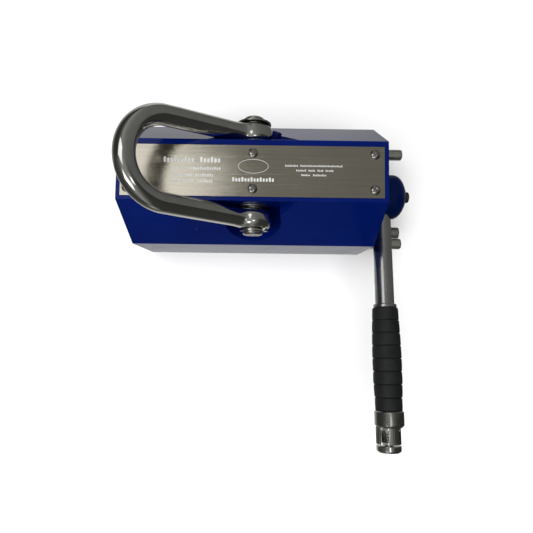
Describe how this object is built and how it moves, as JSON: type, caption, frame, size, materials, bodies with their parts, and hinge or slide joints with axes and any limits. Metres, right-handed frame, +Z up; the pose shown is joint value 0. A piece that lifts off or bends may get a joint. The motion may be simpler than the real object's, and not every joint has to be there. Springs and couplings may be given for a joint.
{
  "type": "permanent lifting magnet",
  "caption": "Permanent lifting magnet: blue steel housing with a turning magnet rotor, side lever with foam grip, stop pins and a folding shackle.",
  "frame": {"origin": "centre of the flat lifting face underneath the housing", "axes": "+X along the housing towards the lever, +Y across it away from the resting lever, +Z up towards the shackle"},
  "size_m": [0.324, 0.3629, 0.2322],
  "materials": {
    "blue_paint": "gloss",
    "nameplate_steel": "satin",
    "stainless": "satin",
    "zinc_steel": "satin",
    "bare_steel": "satin",
    "chrome": "polished",
    "magnet": "satin",
    "brass": "satin",
    "bronze": "satin",
    "seal_rubber": "satin",
    "grip_foam": "matte",
    "black_plastic": "satin",
    "spring_steel": "polished"
  },
  "bodies": {
    "housing": {"pole_shoe_near": "blue_paint", "pole_shoe_far": "blue_paint", "top_bridge": "stainless", "bridge_screws": "zinc_steel", "bottom_spacer": "brass", "fixed_magnets": "magnet", "magnet_end_blocks": "brass", "end_plate_front": "blue_paint", "end_plate_rear": "blue_paint", "end_plate_screws_front": "zinc_steel", "end_plate_screws_rear": "zinc_steel", "bearing_carrier_front": "bare_steel", "bearing_carrier_rear": "bare_steel", "bearing_bush_front": "bronze", "bearing_bush_rear": "bronze", "shaft_seal": "seal_rubber", "nameplate": "nameplate_steel", "nameplate_screws": "chrome", "shackle_pin": "chrome", "pin_bush_near": "zinc_steel", "pin_bush_far": "zinc_steel", "pin_washer_far": "zinc_steel", "circlip_near": "chrome", "circlip_far": "chrome", "stop_pin_near": "chrome", "stop_pin_far": "chrome", "lock_guide": "zinc_steel", "lock_spring": "spring_steel"},
    "rotor": {"rotor_pole_near": "bare_steel", "rotor_pole_far": "bare_steel", "rotor_magnets": "magnet", "rotor_spacers": "brass", "rotor_cap_front": "bare_steel", "rotor_cap_rear": "bare_steel", "rotor_screws_front": "zinc_steel", "rotor_screws_rear": "zinc_steel", "lock_plate": "bare_steel", "lock_plate_key": "bare_steel", "lever_hub": "blue_paint", "hub_bolt": "zinc_steel", "hub_plug": "black_plastic", "lever_bar": "chrome", "lever_collar": "chrome", "grip": "grip_foam", "end_collar": "chrome", "spring_cage": "chrome", "pull_spring": "spring_steel"},
    "lock": {"lock_button": "zinc_steel"},
    "pull": {"pull_ring": "chrome"},
    "shackle": {"shackle_bow": "chrome"}
  },
  "joints": [
    {"name": "lever_turn", "type": "hinge", "parent": "housing", "child": "rotor", "pos_m": [0, 0, 0.047], "axis": [-1, 0, 0], "range_deg": [0, 164]},
    {"name": "shackle_fold", "type": "hinge", "parent": "housing", "child": "shackle", "pos_m": [0, 0, 0.134], "axis": [0, 1, 0], "range_deg": [0, 102.8]},
    {"name": "lock_push", "type": "slide", "parent": "housing", "child": "lock", "axis": [-1, 0, 0], "range_m": [0, 0.006], "stiffness_N_per_m": 600, "springref_m": -0.002, "deforming": ["lock_spring"]},
    {"name": "ring_pull", "type": "slide", "parent": "rotor", "child": "pull", "axis": [0, -0.9903, 0.1392], "range_m": [0, 0.005], "stiffness_N_per_m": 1500, "springref_m": -0.002, "deforming": ["pull_spring"]}
  ]
}
